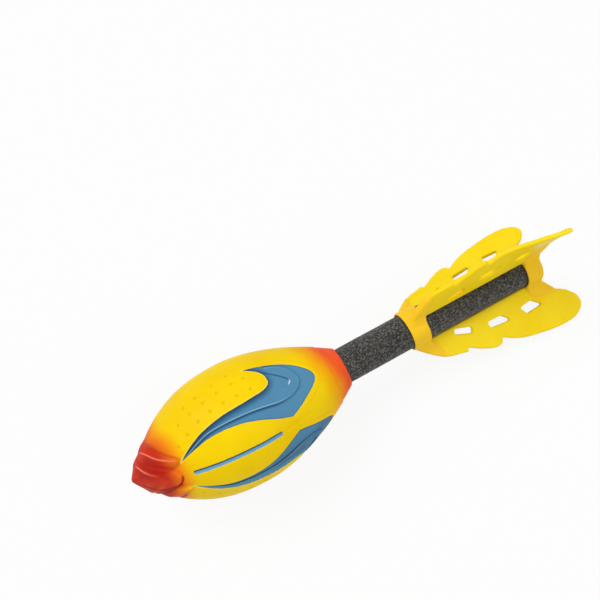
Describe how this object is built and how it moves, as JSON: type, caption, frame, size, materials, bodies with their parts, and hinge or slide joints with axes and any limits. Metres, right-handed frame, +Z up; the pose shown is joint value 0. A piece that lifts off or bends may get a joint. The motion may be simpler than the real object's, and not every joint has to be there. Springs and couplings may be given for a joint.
{
  "type": "foam throwing rocket",
  "caption": "Foam throwing rocket: bulbous moulded foam head, foam-covered stick and a soft tail with feather-shaped fins that keep it flying straight.",
  "frame": {"origin": "bottom centre of the bounding box: the middle of the footprint, on the surface the rocket lies on", "axes": "+X from nose to tail along the lying rocket, +Z up through the top fin, +Y away from the side with the bar of the near face"},
  "size_m": [0.3236, 0.0866, 0.0809],
  "materials": {
    "head_foam": "self-skinned moulded foam, painted yellow with blue flashes and airbrushed red ends, satin",
    "sleeve_foam": "speckled dark grey bead foam, matt",
    "rod_plastic": "plain natural plastic",
    "tail_plastic": "soft moulded plastic, satin"
  },
  "bodies": {
    "root": {"head": "head_foam", "foam_sleeve": "sleeve_foam", "core_rod": "rod_plastic", "tail_fin_unit": "tail_plastic"}
  },
  "joints": []
}
